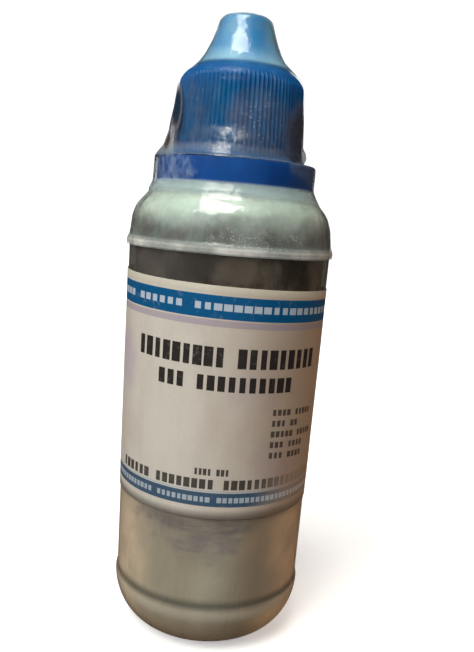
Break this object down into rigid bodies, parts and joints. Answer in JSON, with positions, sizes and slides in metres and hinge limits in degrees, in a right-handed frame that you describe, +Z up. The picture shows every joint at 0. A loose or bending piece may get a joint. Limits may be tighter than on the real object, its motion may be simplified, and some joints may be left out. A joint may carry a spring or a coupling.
{
  "type": "dropper bottle",
  "caption": "Squeeze dropper bottle of translucent plastic with dark solution, a wrap-round label, a ribbed blue screw cap with a conical top, a tamper ring and clear shrink film.",
  "frame": {"origin": "middle of the foot, on the surface that the bottle stands on", "axes": "+Z up along the axis of the bottle and its thread; the label's printed front faces -Y"},
  "size_m": [0.046, 0.046, 0.1379],
  "materials": {
    "natural_polythene": "translucent, satin",
    "dropper_polythene": "translucent, satin",
    "blue_cap_plastic": "semi-gloss",
    "blue_ring_plastic": "semi-gloss",
    "clear_film": "clear, glossy",
    "label_paper": "coated, semi-gloss",
    "indicator_solution": "dark liquid"
  },
  "bodies": {
    "bottle": {"bottle_body": "natural_polythene", "dropper_plug": "dropper_polythene", "label": "label_paper", "indicator_liquid": "indicator_solution"},
    "ring": {"tamper_ring": "blue_ring_plastic"},
    "cap": {"screw_cap": "blue_cap_plastic"},
    "film": {"shrink_film": "clear_film"}
  },
  "joints": [
    {"name": "cap_turn", "type": "hinge", "parent": "bottle", "child": "ring", "pos_m": [0, 0, 0.1068], "axis": [0, 0, 1], "range_deg": [0, 3240]},
    {"name": "cap_rise", "type": "slide", "parent": "ring", "child": "cap", "axis": [0, 0, 1], "range_m": [0, 0.0288]},
    {"name": "film_lift", "type": "slide", "parent": "cap", "child": "film", "axis": [0, 0, 1], "range_m": [0, 0.05]}
  ],
  "couplings": [
    {"joint": "cap_rise", "follows": "cap_turn", "m_per_rad": 0.0005093}
  ]
}
